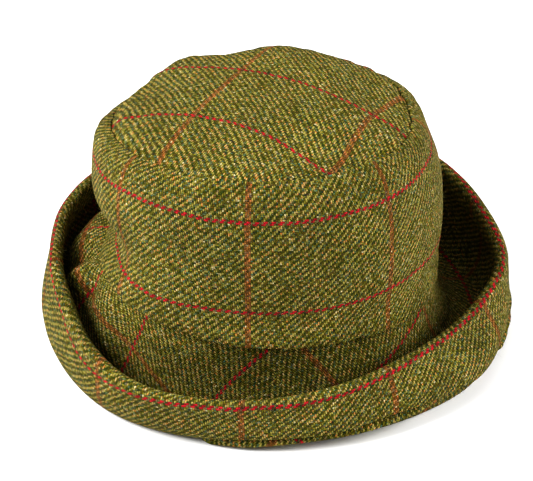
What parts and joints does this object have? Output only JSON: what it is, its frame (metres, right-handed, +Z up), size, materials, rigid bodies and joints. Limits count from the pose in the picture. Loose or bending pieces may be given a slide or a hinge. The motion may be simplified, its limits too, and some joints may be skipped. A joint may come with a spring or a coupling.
{
  "type": "cloche hat",
  "caption": "Soft tweed cloche hat with a domed crown, a deep side band and a turned-up brim that rests on its folded sole.",
  "frame": {"origin": "on the table under the middle of the brim's outline, at the level that the sole of the brim rests on", "axes": "+Z up out of the table, -Y towards the front of the hat, where the brim is turned up least, +X to the right-hand side seen from the front"},
  "size_m": [0.261, 0.2458, 0.1496],
  "materials": {
    "crown_tweed": "matt woollen twill, olive green with red and rust overchecks",
    "brim_tweed": "matt woollen twill, olive green with red and rust overchecks, cut on the bias",
    "cuff_tweed": "matt woollen twill, olive green with a red overcheck along the rim"
  },
  "bodies": {
    "root": {"tip": "crown_tweed", "side_band": "crown_tweed", "brim_upper": "brim_tweed", "brim_under": "brim_tweed", "cuff": "cuff_tweed"}
  },
  "joints": []
}
